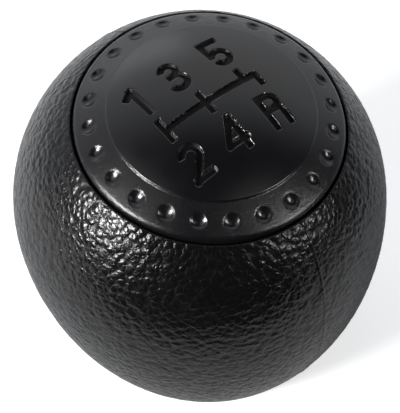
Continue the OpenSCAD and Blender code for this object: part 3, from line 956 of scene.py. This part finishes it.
def studio_sky(world):
    """A dim room that is pale and cool behind the object, and white where the camera sees past the floor."""
    world.use_nodes = True
    tree = world.node_tree
    tree.nodes.clear()
    path = add(tree, "ShaderNodeLightPath")
    place = add(tree, "ShaderNodeTexCoord").outputs["Generated"]
    parts = add(tree, "ShaderNodeSeparateXYZ", {0: place})
    along = add(tree, "ShaderNodeVectorMath", {0: place, 1: direction(PALE_SIDE, 0)}, operation="DOT_PRODUCT")
    around = add(tree, "ShaderNodeMapRange", {"Value": along, "From Min": -0.1, "From Max": 0.6},
                 interpolation_type="SMOOTHSTEP")
    upwards = add(tree, "ShaderNodeMapRange",
                  {"Value": parts.outputs["Z"], "From Min": 0.2, "From Max": 0.5, "To Min": 0.5, "To Max": 0.92})
    backdrop = add(tree, "ShaderNodeMath", {0: around, 1: upwards}, operation="MULTIPLY")
    tint = add(tree, "ShaderNodeMix", {"Factor": backdrop, "A": linear(ROOM_DARK), "B": linear(ROOM_PALE)},
               data_type="RGBA")
    room = add(tree, "ShaderNodeBackground", {"Color": tint, "Strength": 1.0})
    white = add(tree, "ShaderNodeBackground", {"Color": (1, 1, 1, 1), "Strength": 1.0})
    in_mirror = add(tree, "ShaderNodeMath", {0: mirror_rays(tree, path), 1: backdrop}, operation="MULTIPLY")
    seen = add(tree, "ShaderNodeMath", {0: in_mirror, 1: path.outputs["Is Camera Ray"]}, operation="MAXIMUM")
    mixed = add(tree, "ShaderNodeMixShader", {0: seen, 1: room, 2: white})
    add(tree, "ShaderNodeOutputWorld", {"Surface": mixed})


def place_camera(scene):
    """Sets the camera by the angles, the distance and the slides of the stage settings."""
    stage = scene.knob_stage
    back = direction(math.degrees(stage.azimuth), math.degrees(stage.elevation))
    right = Vector((math.cos(stage.azimuth), math.sin(stage.azimuth), 0))
    axes = Matrix((right, back.cross(right), back)).transposed() @ Matrix.Rotation(stage.roll, 3, "Z")
    spot = Vector((0, 0, stage.aim_z)) + axes @ Vector((stage.slide_right, stage.slide_up, stage.distance))
    lens = bpy.data.cameras.new("camera")
    lens.sensor_width = SENSOR_W
    lens.lens = stage.lens
    lens.shift_x = stage.shift_x
    lens.shift_y = stage.shift_y
    lens.clip_start = 0.01
    camera = bpy.data.objects.new("camera", lens)
    camera.matrix_world = Matrix.Translation(spot) @ axes.to_4x4()
    scene.collection.objects.link(camera)
    scene.camera = camera


def hang_lamps(scene):
    """Hangs the soft boxes round the object, each facing its middle."""
    middle = Vector((0, 0, scene.knob_ball.widest_z))
    for name, azimuth, elevation, wide, high, brightness, tint in LAMPS:
        lamp = bpy.data.lights.new(name, "AREA")
        lamp.shape = "RECTANGLE"
        lamp.size = wide
        lamp.size_y = high
        lamp.color = linear(tint)[:3]
        lamp.energy = brightness * math.pi * wide * high
        holder = bpy.data.objects.new(name, lamp)
        aim = direction(azimuth, elevation)
        holder.location = middle + aim * LAMP_DISTANCE
        holder.rotation_euler = aim.to_track_quat("Z", "Y").to_euler()
        scene.collection.objects.link(holder)


class KNOB_OT_stage(bpy.types.Operator):
    """Lays the floor, lights the knob and places the camera."""

    bl_idname = "knob.stage"
    bl_label = "Floor, lamps and camera"

    def execute(self, context):
        scene = context.scene
        angles = even_angles(FLOOR_COLUMNS)
        reach = np.full(len(angles), FLOOR_REACH)
        for turn, edge in ((math.pi / 2, FLOOR_FRONT), (0, FLOOR_RIGHT)):
            towards_edge = np.cos(angles - scene.knob_stage.azimuth + turn)
            reach = np.minimum(reach, edge / np.maximum(towards_edge, edge / FLOOR_REACH))
        floor = mesh_of_rows("floor", [circle_row(reach, SHELL_LOW[2] - FLOOR_DROP, angles)], fans=(-1,))
        floor.data.materials.append(studio_floor(scene.knob_colours))
        scene.world = bpy.data.worlds.new("studio")
        studio_sky(scene.world)
        hang_lamps(scene)
        place_camera(scene)
        scene.view_settings.view_transform = "Standard"
        return {"FINISHED"}


class KNOB_PT_panel(bpy.types.Panel):
    """Lists the knob's pieces and its sizes."""

    bl_idname = "KNOB_PT_panel"
    bl_label = "Gear shift knob"
    bl_space_type = "VIEW_3D"
    bl_region_type = "UI"
    bl_category = "Knob"

    def draw(self, context):
        for step in STEPS:
            self.layout.operator(step.bl_idname)
        for name in GROUPS:
            group = getattr(context.scene, name)
            box = self.layout.box()
            for key in group.__annotations__:
                box.prop(group, key)


STEPS = (KNOB_OT_stage, KNOB_OT_grip, KNOB_OT_cap, KNOB_OT_insert, KNOB_OT_core)
GROUPS = {"knob_ball": KnobBallSizes, "knob_cap": KnobCapSizes, "knob_pattern": KnobPatternSizes,
          "knob_insert": KnobInsertSizes, "knob_colours": KnobColours, "knob_stage": KnobStageSettings}


def register():
    """Registers the classes and hangs the settings on the scene."""
    for item in (*GROUPS.values(), *STEPS, KNOB_PT_panel):
        bpy.utils.register_class(item)
    for name, group in GROUPS.items():
        setattr(bpy.types.Scene, name, PointerProperty(type=group))


def unregister():
    """Takes the settings off the scene and unregisters the classes."""
    for name in GROUPS:
        delattr(bpy.types.Scene, name)
    for item in (KNOB_PT_panel, *reversed(STEPS), *reversed(GROUPS.values())):
        bpy.utils.unregister_class(item)


def main():
    """Builds the whole scene."""
    register()
    for step in STEPS:
        group, name = step.bl_idname.split(".")
        getattr(getattr(bpy.ops, group), name)()


if __name__ == "__main__":
    main()
